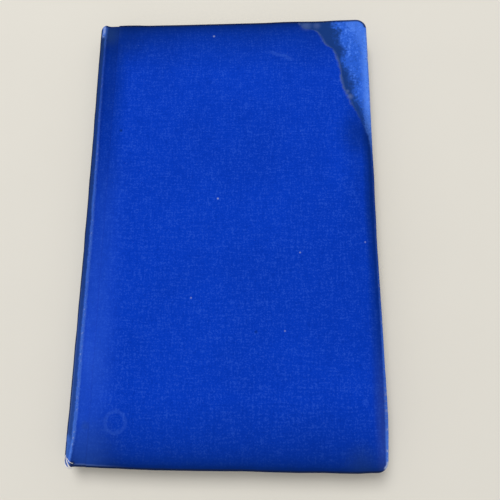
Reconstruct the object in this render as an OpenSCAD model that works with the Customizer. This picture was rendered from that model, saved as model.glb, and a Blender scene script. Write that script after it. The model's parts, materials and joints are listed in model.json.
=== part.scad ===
// A slim clothbound hardback, lying closed on its back cover with the spine at -X and the head at +Y.
// The two sides of a book mirror each other, so each layer is drawn once, above the middle plane of
// the block, and the back cover's layers are that drawing turned over.

/* [Leaves] */
// Height of a leaf
page_h = 216; // [150:1:300]
// Width of a leaf, from the shoulder to the fore-edge
page_w = 135.5; // [90:0.5:220]
// Thickness of the block of leaves
block_t = 6.4; // [5.6:0.1:8]
// Number of folded sections sewn into the block
section_count = 8; // [6:1:10]
// How far the back of the block is rounded out
back_round = 2.2; // [1.6:0.1:2.6]
// How far the fore-edge is hollowed by the rounding
fore_edge_hollow = 1.6; // [0.8:0.1:2]
// Height of the shoulder beaten up along each side of the back
shoulder_h = 1.4; // [1.1:0.1:1.5]
// Radius of the bend at the root of the shoulder
shoulder_r = 2.6; // [2.2:0.1:3]
// Depth of the slits between the folds of the sections
slit_depth = 2.4; // [1:0.1:3]
// Width of those slits at the back
slit_w = 0.14; // [0.06:0.01:0.2]

/* [Papers and mull] */
// Thickness of the endpapers and of the lining
paper_t = 0.15; // [0.1:0.01:0.2]
// Thickness of the open-weave mull
mull_t = 0.15; // [0.1:0.01:0.2]
// How far the mull stops short of the cloth turned in at the head and tail
mull_short = 4; // [1:1:10]
// Width of the mull flange that is pasted to each board
flange_w = 22; // [12:1:40]
// Thickness of the sewing thread, pressed flat
thread_t = 0.15; // [0.1:0.01:0.2]
// Width of the sewing thread
thread_w = 0.5; // [0.3:0.05:0.8]
// Number of sewing stations along the back
station_count = 6; // [3:1:8]
// Distance from the head or tail of the block to the nearest station
kettle_inset = 12; // [6:1:20]
// Paste between the layers on the block
paste_t = 0.03; // [0.02:0.01:0.05]

/* [Boards and cloth] */
// Thickness of the boards
board_t = 2; // [1.6:0.1:2.6]
// Thickness of the book cloth
cloth_t = 0.35; // [0.25:0.01:0.4]
// How far the covers stand past the leaves at the head, tail and fore-edge
square_w = 3; // [2:0.5:5]
// Width of the cloth turned in over the inside of the boards and spine
turn_in = 15; // [10:1:20]
// Width of cloth left showing round each pastedown
paste_margin = 3; // [2:0.5:5]
// Gap along the folded corners of the turn-in
mitre_w = 0.25; // [0.15:0.05:0.4]
// Air between a closed cover and the endpaper under it
closing_gap = 0.05; // [0.05:0.01:0.2]
// Rounding of the cover's outer edges
outer_edge_r = 0.9; // [0.6:0.1:1.1]
// Rounding of the cover's inner edges
inner_edge_r = 0.6; // [0.45:0.05:0.8]
// Wear on the front cover's corner at the head
front_head_wear_r = 5.5; // [1.5:0.5:9]
// Wear on the front cover's corner at the tail
front_tail_wear_r = 2.8; // [1.2:0.1:9]
// Wear on the back cover's two corners
back_wear_r = 2; // [1.2:0.1:9]

/* [Spine and joints] */
// Thickness of the card strip in the spine
inlay_t = 0.6; // [0.4:0.05:0.7]
// How far the spine stands out past its ridges
spine_bulge = 4.4; // [4:0.1:5]
// Outer radius of the ridge beside each joint
ridge_r = 1.3; // [1.1:0.1:1.5]
// How far the ridge lies below the face of the cover
ridge_drop = 0.1; // [0:0.05:0.3]
// Distance from the ridge across to the shoulder of the block
ridge_to_shoulder = 0.7; // [0.6:0.05:0.9]
// Width of the joint, from the ridge to the edge of the cover
joint_w = 6.8; // [6:0.1:9]
// Depth of the joint below the face of the cover
joint_depth = 1.1; // [0.9:0.05:1.3]
// Radius of the hollow beside the ridge
groove_r = 3; // [2.4:0.1:3.4]
// Room left for the cover's edge to swing past the spine's cloth
swing_gap = 0.4; // [0.3:0.05:0.6]

/* [Hidden] */
$fn = 96;
cloth_colour = [0.06, 0.24, 0.74];

// Heights, measured from the middle plane of the block
block_top = block_t / 2;
flyleaf_bottom = block_top + paste_t;
cover_bottom = flyleaf_bottom + paper_t + closing_gap;
cover_inside = cover_bottom + paper_t;
board_bottom = cover_inside + cloth_t;
board_top = board_bottom + board_t;
half_t = board_top + cloth_t;
joint_top = half_t - joint_depth;
shoulder_top = block_top + shoulder_h;

// Ridge and rounding of the spine: the large round meets the ridge's small one without a corner
ridge_z = half_t - ridge_drop - ridge_r;
spine_r = (pow(spine_bulge, 2) + pow(ridge_z, 2) - pow(ridge_r, 2)) / (2 * (spine_bulge - ridge_r));
spine_half = atan2(ridge_z, spine_r - spine_bulge);

// Places from the spine to the fore-edge
overall_w = spine_bulge + ridge_to_shoulder + page_w + square_w;
case_h = page_h + 2 * square_w;
fore_x = overall_w / 2;
ridge_x = spine_bulge - fore_x;
spine_x = spine_r - fore_x;
shoulder_x = ridge_x + ridge_to_shoulder;
leaf_x = fore_x - square_w;
cover_x = ridge_x + joint_w;

// Window of bare board between the turned-in cloth, and the mull's height within it
window = [fore_x - turn_in, case_h / 2 - turn_in];
mull_h = 2 * (window.y - mull_short);

// Joint: the groove's hollow carries on from the ridge, then runs level to its end
groove_turn = acos(1 - (half_t - ridge_drop - joint_top) / (ridge_r + groove_r));
groove_x = ridge_x + (ridge_r + groove_r) * sin(groove_turn);
joint_end = ridge_x + sqrt(pow(joint_w - swing_gap, 2) - pow(joint_top - cover_bottom, 2));

// Back of the block: a round of folds, each overlapping its neighbours a little
function on_arc(centre_x, r, a) = [centre_x - r * cos(a), r * sin(a)];
function fold_angle(i) = fold_span - i * fold_step;
back_r = (pow(shoulder_top, 2) + pow(back_round, 2)) / (2 * back_round);
back_x = shoulder_x - back_round + back_r;
back_half = asin(shoulder_top / back_r);
fold_overlap = 1.06;
fold_r = fold_overlap * back_r * back_half * PI / 180 / section_count;
fold_ring_r = back_r - fold_r;
fold_span = asin((shoulder_top - fold_r) / fold_ring_r);
fold_step = 2 * fold_span / (section_count - 1);
valley_r = fold_ring_r * cos(fold_step / 2) + sqrt(pow(fold_r, 2) - pow(fold_ring_r * sin(fold_step / 2), 2));
tip = on_arc(back_x, fold_ring_r, fold_span);
root_z = block_top + shoulder_r;
root_x = tip.x + sqrt(pow(shoulder_r + fold_r, 2) - pow(root_z - tip.y, 2));
fore_r = (pow(block_top, 2) + pow(fore_edge_hollow, 2)) / (2 * fore_edge_hollow);

// Layers over the back
thread_r = back_r + paste_t + thread_t;
mull_r = thread_r + paste_t + mull_t;
lining_r = mull_r + paste_t + paper_t;
inlay_r = spine_r - cloth_t - paste_t;
inlay_in_r = inlay_r - inlay_t;
inlay_half = spine_half - cloth_t / spine_r * 180 / PI;
flange_top = joint_top - cloth_t;
hinge_paper_top = flange_top - cloth_t;

// Margins by which a cutting shape runs past what it cuts, along and round
past = 1;
past_turn = 1;

// Flat drawing, seen along the book, drawn out along it
module along_book(length) {
    rotate([90, 0, 0])
        linear_extrude(height = length, center = true)
            children();
}

// The same at the head and at the tail only, over a width from each end
module at_both_ends(length, width) {
    for (side = [-1, 1])
        translate([0, side * (length - width) / 2, 0])
            along_book(width)
                children();
}

// Slice of a disc that opens towards the spine, and the arc that is left of it round a smaller disc
module pie(centre_x, r, half) {
    reach = 3 * r;
    intersection() {
        translate([centre_x, 0])
            circle(r = r);
        polygon([[centre_x, 0], for (k = [-1, -1 / 3, 1 / 3, 1]) on_arc(centre_x, reach, k * half)]);
    }
}

module back_arc(centre_x, r_out, r_in, half) {
    difference() {
        pie(centre_x, r_out, half);
        translate([centre_x, 0])
            circle(r = r_in);
    }
}

module between(low, high) {
    translate(low)
        square(high - low);
}

// Both sides of the middle plane
module both_sides() {
    children();
    mirror([0, 1])
        children();
}

// Puts what is drawn from the middle plane in place, or the same thing turned over
module in_place() {
    translate([0, 0, half_t])
        children();
}

module turned_over() {
    in_place()
        mirror([0, 0, 1])
            children();
}

// The leaves: folded sections, rounded, backed into shoulders and trimmed
module fold_fan() {
    difference() {
        polygon([[root_x, root_z],
                 for (i = [0:section_count - 1]) on_arc(back_x, fold_ring_r, fold_angle(i)),
                 [root_x, -root_z]]);
        both_sides()
            translate([root_x, root_z])
                circle(r = shoulder_r);
    }
}

module fold(i) {
    translate(on_arc(back_x, fold_ring_r, fold_angle(i)))
        circle(r = fold_r);
}

module slit(i) {
    valley = on_arc(back_x, valley_r, fold_angle(i + 0.5));
    inner = [root_x, block_top - (i + 1) * block_t / section_count];
    way = (inner - valley) / norm(inner - valley);
    mouth = valley - way * (back_r - valley_r);
    across = [-way.y, way.x] * slit_w / 2;
    polygon([mouth + across, mouth - across, valley + way * slit_depth]);
}

module block_outline() {
    difference() {
        union() {
            between([tip.x, -block_top], [leaf_x, block_top]);
            fold_fan();
            for (i = [0:section_count - 1])
                fold(i);
        }
        translate([leaf_x - fore_edge_hollow + fore_r, 0])
            circle(r = fore_r);
        for (i = [0:section_count - 2])
            slit(i);
    }
}

module pages() {
    color("ivory")
        in_place()
            along_book(page_h)
                block_outline();
}

// One bar of thread across the folds at each sewing station
module sewing_thread() {
    first = page_h / 2 - kettle_inset;
    step = 2 * first / (station_count - 1);
    color("linen")
        for (k = [0:station_count - 1])
            translate([0, first - k * step, 0])
                in_place()
                    along_book(thread_w)
                        back_arc(back_x, thread_r, back_r + paste_t, fold_span);
}

// Mull over the back, out under the cloth of each joint: the space inside its outer face, less that
// inside its inner face
module mull_space(r, top, end) {
    pie(back_x, r, asin(top / r));
    between([back_x - sqrt(pow(r, 2) - pow(top, 2)), -top], [end, top]);
}

module mull() {
    color("antiquewhite")
        in_place()
            along_book(mull_h)
                difference() {
                    mull_space(mull_r, flange_top, joint_end);
                    mull_space(mull_r - mull_t, flange_top - mull_t, joint_end + past);
                }
}

module spine_lining() {
    color("tan")
        in_place()
            along_book(mull_h)
                back_arc(back_x, lining_r, lining_r - paper_t, fold_span);
}

// Loose half of an endpaper: flat on the leaves, up the shoulder, and folded back under the joint
module above_flyleaf(r, right) {
    translate([root_x, root_z])
        circle(r = r);
    between([root_x, root_z - r], [right, root_z + r]);
}

module flyleaf_sheet() {
    face_r = shoulder_r - paste_t;
    fold_x = root_x - sqrt(pow(face_r, 2) - pow(root_z - hinge_paper_top + paper_t, 2));
    along_book(page_h) {
        difference() {
            above_flyleaf(face_r, leaf_x);
            above_flyleaf(face_r - paper_t, leaf_x + past);
            between([root_x - face_r - past, hinge_paper_top - paper_t / 2], [leaf_x + past, root_z + face_r + past]);
        }
        between([fold_x, hinge_paper_top - paper_t], [joint_end, hinge_paper_top]);
    }
}

module front_flyleaf() {
    color("floralwhite")
        in_place()
            flyleaf_sheet();
}

module back_flyleaf() {
    color("floralwhite")
        turned_over()
            flyleaf_sheet();
}

// Card strip that gives the spine its curve
module spine_inlay() {
    color("peru")
        in_place()
            along_book(case_h - 2 * cloth_t)
                back_arc(spine_x, inlay_r, inlay_in_r, inlay_half);
}

// Everything inside the cloth of the spine and joints, a given depth under its outer face
module joint_space(depth, end) {
    groove_z = joint_top + groove_r;
    difference() {
        polygon([[ridge_x, -past], [ridge_x, ridge_z], [groove_x, groove_z], [groove_x, -past]]);
        translate([groove_x, groove_z])
            circle(r = groove_r + depth);
    }
    between([ridge_x, -past], [end, joint_top - depth]);
}

module case_space(depth, end) {
    pie(spine_x, spine_r - depth, spine_half);
    both_sides() {
        translate([ridge_x, ridge_z])
            circle(r = ridge_r - depth);
        joint_space(depth, end);
    }
}

// One sheet over the spine and both joints, turned in over the inlay at the head and tail
module spine_cloth() {
    lap_r = inlay_in_r - paste_t;
    color(cloth_colour)
        in_place() {
            along_book(case_h)
                difference() {
                    case_space(0, joint_end);
                    case_space(cloth_t, joint_end + past);
                }
            at_both_ends(case_h, turn_in)
                difference() {
                    case_space(cloth_t / 2, joint_end);
                    pie(spine_x, lap_r - cloth_t, spine_half + past_turn);
                    both_sides()
                        joint_space(2 * cloth_t, joint_end + past);
                    back_arc(spine_x, spine_r - cloth_t, lap_r, inlay_half);
                }
            at_both_ends(case_h, cloth_t)
                back_arc(spine_x, spine_r - cloth_t / 2, lap_r - cloth_t / 2, (inlay_half + spine_half) / 2);
        }
}

// Rectangle with one rounding along its top and another along its bottom
module soft_rectangle(low, high, top_r, bottom_r) {
    between([low.x + top_r, low.y + bottom_r], [high.x - top_r, high.y]);
    between([low.x, low.y + bottom_r], [high.x, high.y - top_r]);
    between([low.x + bottom_r, low.y], [high.x - bottom_r, high.y - top_r]);
    for (x = [low.x + top_r, high.x - top_r])
        translate([x, high.y - top_r])
            circle(r = top_r);
    for (x = [low.x + bottom_r, high.x - bottom_r])
        translate([x, low.y + bottom_r])
            circle(r = bottom_r);
}

// Outline of a cover seen from above, with its two worn corners at the fore-edge
module cover_plan(inset, head_r, tail_r) {
    right = fore_x - inset;
    half = case_h / 2 - inset;
    hr = head_r - inset;
    tr = tail_r - inset;
    between([cover_x + inset, -half], [right - max(hr, tr), half]);
    between([cover_x + inset, tr - half], [right, half - hr]);
    between([cover_x + inset, -half], [right - tr, 0]);
    between([cover_x + inset, 0], [right - hr, half]);
    translate([right - hr, half - hr])
        circle(r = hr);
    translate([right - tr, tr - half])
        circle(r = tr);
}

// The whole cover, or what is left of it under a skin of the inset's thickness
module cover_body(inset, head_r, tail_r) {
    top_r = outer_edge_r - inset;
    bottom_r = inner_edge_r - inset;
    low = cover_inside + inset;
    high = half_t - inset;
    intersection() {
        along_book(case_h)
            soft_rectangle([cover_x + inset, low], [fore_x - inset, high], top_r, bottom_r);
        rotate([90, 0, 90])
            linear_extrude(height = overall_w, center = true)
                soft_rectangle([inset - case_h / 2, low], [case_h / 2 - inset, high], top_r, bottom_r);
        translate([0, 0, low - past])
            linear_extrude(height = high - low + 2 * past)
                cover_plan(inset, head_r, tail_r);
    }
}

// Cloth over a board: outside, round the edges and turned in, open where the board lies bare
module cover_cloth(head_r, tail_r) {
    mitre_length = (turn_in - max(head_r, tail_r) / 2) * sqrt(2);
    difference() {
        cover_body(0, head_r, tail_r);
        cover_body(cloth_t, head_r, tail_r);
        translate([0, 0, cover_inside - past])
            linear_extrude(height = cloth_t + past)
                between([cover_x - past, -window.y], window);
        translate([0, 0, cover_inside - past])
            linear_extrude(height = flange_top - cover_inside + past)
                between([cover_x - past, -window.y], [cover_x + inner_edge_r, window.y]);
        for (side = [-1, 1])
            translate([window.x, side * window.y, cover_inside - past])
                rotate(side * 45)
                    translate([-mitre_w / 2, -mitre_w / 2, 0])
                        cube([mitre_length, mitre_w, past + cloth_t]);
    }
}

// The flange of the mull, pasted to the inside of a board
module board_flange() {
    translate([cover_x + cloth_t, -mull_h / 2, board_bottom - mull_t])
        cube([flange_w, mull_h, mull_t]);
}

// Pasted-down half of an endpaper, which sinks from the turned-in cloth to the board between
module pastedown_sheet() {
    left = cover_x + cloth_t;
    edge = [fore_x - paste_margin, case_h / 2 - paste_margin];
    flange = [left + flange_w, mull_h / 2];
    inward = [paper_t, paper_t];
    difference() {
        translate([0, 0, cover_bottom])
            linear_extrude(height = board_bottom - cover_bottom)
                between([left, -edge.y], edge);
        translate([0, 0, cover_inside])
            linear_extrude(height = board_bottom - cover_inside + past)
                difference() {
                    between([left - past, -edge.y - past], edge + [past, past]);
                    between([left - past, -window.y], window);
                }
        translate([0, 0, board_bottom - mull_t])
            linear_extrude(height = mull_t + past)
                between([left - past, -flange.y], flange);
        translate([0, 0, cover_bottom - past])
            linear_extrude(height = board_bottom - paper_t - cover_bottom + past)
                difference() {
                    between([left - past, paper_t - window.y], window - inward);
                    between([left - 2 * past, -flange.y - paper_t], flange + inward);
                }
        translate([0, 0, cover_bottom - past])
            linear_extrude(height = board_bottom - mull_t - paper_t - cover_bottom + past)
                between([left - past, -flange.y - paper_t], flange + inward);
    }
}

module front_board() {
    color("darkgray")
        in_place()
            cover_body(cloth_t, front_head_wear_r, front_tail_wear_r);
}

module front_cloth() {
    color(cloth_colour)
        in_place()
            cover_cloth(front_head_wear_r, front_tail_wear_r);
}

module front_mull_flange() {
    color("antiquewhite")
        in_place()
            board_flange();
}

module front_pastedown() {
    color("floralwhite")
        in_place()
            pastedown_sheet();
}

module back_board() {
    color("darkgray")
        turned_over()
            cover_body(cloth_t, back_wear_r, back_wear_r);
}

module back_cloth() {
    color(cloth_colour)
        turned_over()
            cover_cloth(back_wear_r, back_wear_r);
}

module back_mull_flange() {
    color("antiquewhite")
        turned_over()
            board_flange();
}

module back_pastedown() {
    color("floralwhite")
        turned_over()
            pastedown_sheet();
}

pages();
sewing_thread();
mull();
spine_lining();
front_flyleaf();
back_flyleaf();
spine_inlay();
spine_cloth();
front_board();
front_cloth();
front_mull_flange();
front_pastedown();
back_board();
back_cloth();
back_mull_flange();
back_pastedown();
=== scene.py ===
"""Dresses a packed hardback: worn book cloth over the case, sewn sections, endpapers, mull and thread."""

import json
import math
import random

import bmesh
import bpy
from bpy.props import FloatProperty, FloatVectorProperty, IntProperty, PointerProperty
from mathutils import Euler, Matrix, Vector, geometry, noise


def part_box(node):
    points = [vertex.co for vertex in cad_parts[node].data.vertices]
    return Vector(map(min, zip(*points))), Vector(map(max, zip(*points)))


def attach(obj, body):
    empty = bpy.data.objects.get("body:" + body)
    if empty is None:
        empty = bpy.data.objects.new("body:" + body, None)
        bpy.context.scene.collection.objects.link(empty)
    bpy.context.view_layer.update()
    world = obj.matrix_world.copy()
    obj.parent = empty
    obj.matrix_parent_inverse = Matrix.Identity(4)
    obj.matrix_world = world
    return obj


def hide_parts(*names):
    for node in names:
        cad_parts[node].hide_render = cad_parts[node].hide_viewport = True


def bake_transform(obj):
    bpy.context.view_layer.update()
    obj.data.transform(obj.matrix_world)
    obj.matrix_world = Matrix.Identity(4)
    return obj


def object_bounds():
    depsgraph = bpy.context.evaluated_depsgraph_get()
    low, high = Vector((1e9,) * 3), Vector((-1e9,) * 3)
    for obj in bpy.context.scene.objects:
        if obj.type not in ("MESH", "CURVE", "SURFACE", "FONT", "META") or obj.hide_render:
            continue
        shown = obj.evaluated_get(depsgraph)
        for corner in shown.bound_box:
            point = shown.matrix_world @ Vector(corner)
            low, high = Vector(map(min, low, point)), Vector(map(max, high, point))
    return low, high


bl_info = {
    "name": "Clothbound Hardback",
    "version": (1, 0, 0),
    "blender": (4, 5, 0),
    "location": "3D View > Sidebar > Hardback",
    "description": "Covers, spine, leaves, endpapers and finishes of a slim clothbound hardback",
    "category": "Object",
}

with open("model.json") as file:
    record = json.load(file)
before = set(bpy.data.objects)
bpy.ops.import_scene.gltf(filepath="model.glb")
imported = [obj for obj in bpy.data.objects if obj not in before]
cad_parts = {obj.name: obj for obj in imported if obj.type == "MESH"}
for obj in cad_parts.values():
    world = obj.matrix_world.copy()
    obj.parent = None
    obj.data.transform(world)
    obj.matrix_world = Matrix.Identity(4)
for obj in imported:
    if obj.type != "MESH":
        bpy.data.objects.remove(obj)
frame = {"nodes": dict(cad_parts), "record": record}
cad_low, cad_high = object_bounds()

MM = 0.001
BLOCK = "text_block"
SIDES = (("front", 1), ("back", -1))
# How far each edge of the case wanders outwards (inwards at the spine), in mm, by its place along the edge
HEAD_LINE = ((-58, 0.6), (-51.5, 0.42), (-44, 0.03), (-22.6, -0.14), (4.3, -0.2), (16, -0.25),
             (31, 0.02), (47, -0.26), (58, 0.06), (66, 0.1))
TAIL_LINE = ((-67, -0.15), (-59.6, -0.08), (-47.2, 0.14), (-38.4, 0.38), (-29.5, 0.52), (-12, 0.51),
             (-3, 0.43), (10.3, 0.28), (21.4, 0.45), (32.4, 0.48), (43.5, 0.29), (52.3, 0.4), (59, 0.37),
             (63, 0), (67, -0.1))
FORE_LINE = ((-107, -0.55), (-100, -0.2), (-95, 0.15), (-88, 0.36), (-80, 0.35), (-62, 0.16),
             (-46, 0.11), (-32, -0.08), (-22, -0.18), (-10, -0.32), (2, -0.16), (10, -0.2),
             (24, 0.04), (34, -0.06), (56, 0), (68, 0.12), (104, 0.14))
SPINE_LINE = ((-104, -0.1), (-75, 0.16), (-50, 0.22), (-25, 0.36), (0, 0.36), (35, 0.28),
              (60, 0.13), (88, -0.12), (104, -0.14))
# Distances in mm between which a distortion sets in: the wandering, from the edge that wanders and from the
# ridge; the wear of the caps, from the head and tail; the settling, from a cover's edge beside the joint
STRAYS, STRAYS_AT_RIDGE, CAPS, SETTLES = (14, 2), (3.8, 0.8), (12, 1), (6, 0.4)
# Waves of the cloth on the spine per mm along X, Y and Z, and within how many points across and mm along from
# its edges it is held down
WAVES, HELD = Vector((0.35, 0.11, 0.35)), 6
# Handles of a curve, as a share of the distance that it spans
PULL = 0.36
# Radius of a frayed thread, in mm
FRAYED_ROUND = 0.15
# Starts of the random draws
LEAF_SEED, FRAY_SEED = 7, 11
# Rows of faces along the book, and cuts of each cover edge that is longer than so many mm
CLOTH_ROWS, PASTED_ROWS, CARD_ROWS, SHEET_ROWS = 56, 48, 40, 24
LONG_EDGE, EDGE_CUTS = 20, 44
# Faces across a rounded corner, arris and mitre, and depth of the mitre's line as a share of the cloth's
CORNER_STEPS, ARRIS_STEPS, MITRE_STEPS, MITRE_DEPTH = 10, 6, 2, 0.6
# Edges that are sharper than this angle stay sharp
SHARP_FROM = math.radians(35)
# In mm: outer radius of the cloth's fold at the head and tail, air between the cloth and what it lies on, width
# of a step in a pasted sheet, and play within which faces and corners count as lying on a plane
FOLD_ROUND, FILM, STEP, FLAT = 0.42, 0.01, 0.3, 1e-4
# Start and end of the pasted paper's step over an edge that lies under it, in mm from that edge
STEP_TO_MULL, STEP_TO_CLOTH = (0.7, -0.5), (-0.9, 0.3)
# How far the strip of endpaper across a joint reaches on to the inside of the board, in mm
PAPER_LAP = 0.95
# Slope of the cloth where it leaves the cover's edge for the joint, in degrees
LIP_TURN = 75.0
# Paper's share of a leaf's thickness, the rest being air, and half the width of the studio's floor in metres
LEAF_SHARE, FLOOR_HALF = 0.93, 8


def corners_in_mm(node):
    """Lowest and highest corner of a CAD node, in millimetres."""
    return [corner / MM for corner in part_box(node)]


# ---- Settings


def length(name, description, millimetres):
    return FloatProperty(name=name, description=description, default=millimetres * MM, min=0.0, precision=5,
                         subtype="DISTANCE", unit="LENGTH")


def tone(red, green, blue):
    """Linear colour of a shade that is written as it looks, from 0 to 255."""
    shares = [value / 255 for value in (red, green, blue)]
    return tuple(s / 12.92 if s <= 0.04045 else ((s + 0.055) / 1.055) ** 2.4 for s in shares)


def colour(name, description, *shade):
    return FloatVectorProperty(name=name, description=description, default=tone(*shade), min=0.0, max=1.0,
                               size=3, subtype="COLOR")


def triple(name, description, default, subtype="TRANSLATION", unit="LENGTH"):
    return FloatVectorProperty(name=name, description=description, default=default, size=3, subtype=subtype,
                               unit=unit)


class HardbackCase(bpy.types.PropertyGroup):
    """Sizes of the cloth case."""

    cloth: length("Book cloth", "Thickness of the book cloth", 0.35)
    turn_in: length("Turn-in", "Width of cloth turned in round the boards and the spine", 15)
    outer_arris: length("Outer arris", "Rounding of a cover's outer edges", 0.9)
    inner_arris: length("Inner arris", "Rounding of a cover's inner edges", 0.6)
    head_corner: length("Front head corner", "Wear on the front cover's corner at the head", 5.5)
    tail_corner: length("Front tail corner", "Wear on the front cover's corner at the tail", 5.0)
    back_corner: length("Back corners", "Wear on the back cover's two corners", 2.0)
    mitre: length("Mitre", "Width of the folded line at the corners of the turn-in", 0.25)
    spine_reach: length("Spine reach", "How far the spine stands out past its ridges", 4.4)
    ridge_round: length("Ridge rounding", "Outer radius of the ridge beside each joint", 1.3)
    ridge_drop: length("Ridge drop", "How far the ridge lies below the face of the cover", 0.1)
    groove_round: length("Groove rounding", "Radius of the hollow beside the ridge", 3.0)
    joint_depth: length("Joint depth", "Depth of the joint below the face of the cover", 1.1)
    card: length("Spine card", "Thickness of the spine's card with the paste on it", 0.66)
    settle: length("Settling", "How far a cover's edge has sunk beside the joint", 0.24)
    cap_tail: length("Tail cap", "How far the round of the spine is worn back at the tail", 1.3)
    cap_head: length("Head cap", "How far the round of the spine is worn back at the head", 0.6)
    hinge_from: length("Hinge start", "Distance from the ridge at which the joint starts to bend", 1.8)
    hinge_to: length("Hinge end", "Distance from the ridge from which the cloth moves with its cover", 5.4)
    hinge_step: length("Hinge step", "How much later each layer under the cloth moves with the cover", 0.5)


class HardbackLeaves(bpy.types.PropertyGroup):
    """Sizes of the sewn leaves and what is pasted to them."""

    sections: IntProperty(name="Sections", description="Number of folded sections", default=8, min=2)
    sheets: IntProperty(name="Sheets", description="Folded sheets in a section", default=4, min=1)
    block: length("Block", "Thickness of the block of leaves", 6.4)
    shoulder_round: length("Shoulder rounding", "Radius of the bend at the root of the shoulder", 2.6)
    shoulder_gap: length("Shoulder gap", "Distance from the ridge across to the shoulder", 0.7)
    back_round: length("Back rounding", "How far the back of the block is rounded out", 2.2)
    fore_hollow: length("Fore-edge hollow", "How far the fore-edge is hollowed", 1.6)
    fold_round: length("Fold rounding", "Outer radius of a section's fold", 0.66)
    uneven: length("Unevenness", "How far single leaves stand in or out at the edges", 0.06)
    paper: length("Endpaper", "Thickness of the endpapers", 0.15)
    mull: length("Mull", "Thickness of the mull", 0.15)
    paste: length("Paste", "Thickness of the paste between layers", 0.03)
    mull_short: length("Mull short", "How far the mull stops short of the turned-in cloth", 4.0)
    flange: length("Mull flange", "Width of the mull pasted to each board", 22)


class HardbackShades(bpy.types.PropertyGroup):
    """Shades of the cloth, its wear, the papers and the studio."""

    cloth: colour("Cloth", "Dye of the book cloth", 6, 61, 197)
    cloth_deep: colour("Cloth, deep", "Cloth where handling has darkened it", 3, 44, 156)
    cloth_light: colour("Cloth, light", "Tops of the threads", 50, 98, 218)
    cloth_soiled: colour("Cloth, soiled", "Grime along the edges", 4, 34, 98)
    # Painted shade as well as grime: on the head and tail edges and down the side of the spine
    rim_grime_and_shade: colour("Cloth, rim", "Grime on the head's arris", 20, 34, 68)
    cloth_grey: colour("Cloth, greyed", "Dust in the cloth at the corners", 30, 58, 112)
    cloth_worn: colour("Cloth, worn", "Dye rubbed thin", 72, 120, 220)
    cloth_bare: colour("Cloth, bare", "Threads with the dye rubbed off", 170, 184, 214)
    cloth_faded: colour("Cloth, faded", "Cloth of the spine, greyed by light", 28, 56, 108)
    stain: colour("Stain", "Cloth lightened by water", 44, 98, 214)
    stain_pale: colour("Stain, pale", "Palest blotches of the stain", 92, 146, 255)
    stain_deep: colour("Stain, deep", "Grime gathered inside the rim of the stain", 24, 58, 122)
    # Also laid as a painted highlight, a pale sheen on the spine's round
    tide: colour("Tide line", "Size washed to the rim of the stain", 92, 114, 168)
    leaf: colour("Leaves", "Leaves, toned with age", 226, 215, 188)
    leaf_toned: colour("Leaves, toned", "Leaves, browned at their edges", 190, 166, 122)
    endpaper: colour("Endpaper", "Endpapers", 232, 224, 202)
    board: colour("Greyboard", "Boards", 158, 154, 146)
    card: colour("Spine card", "Card strip in the spine", 178, 158, 128)
    kraft: colour("Lining", "Lining paper on the back", 176, 148, 108)
    gauze: colour("Mull", "Mull, stiffened with paste", 222, 214, 194)
    linen: colour("Thread", "Linen sewing thread", 232, 226, 210)
    frayed: colour("Frayed threads", "Threads of the cloth, bare of dye", 240, 242, 250)
    floor: colour("Floor", "Studio floor", 226, 222, 212)


class HardbackStudio(bpy.types.PropertyGroup):
    """Place of the camera and strength of the light."""

    camera_place: triple("Camera place", "Place of the camera", (0.02158, -0.05892, 0.22158))
    camera_turn: triple("Camera turn", "Turn of the camera", [math.radians(a) for a in (12.2312, 2.7129, 0.3527)],
                        "EULER", "ROTATION")
    lens: FloatProperty(name="Lens", description="Focal length", default=32.4, min=1.0, unit="CAMERA")
    sky: FloatProperty(name="Sky", description="Brightness of the light from all round", default=0.55, min=0.0)
    window: FloatProperty(name="Window", description="Power of the soft lamp", default=52.0, min=0.0,
                          unit="POWER")
    window_size: FloatProperty(name="Window size", description="Width of the soft lamp", default=1.4, min=0.1,
                               subtype="DISTANCE", unit="LENGTH")
    window_place: triple("Window place", "Place of the soft lamp", (-0.5, 1.5, 2.6))


class Millimetres:
    """Reads a group of settings, with its lengths in millimetres."""

    def __init__(self, group):
        self.group = group

    def __getattr__(self, name):
        return getattr(self.group, name) / MM


# ---- Shape of the closed book


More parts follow.
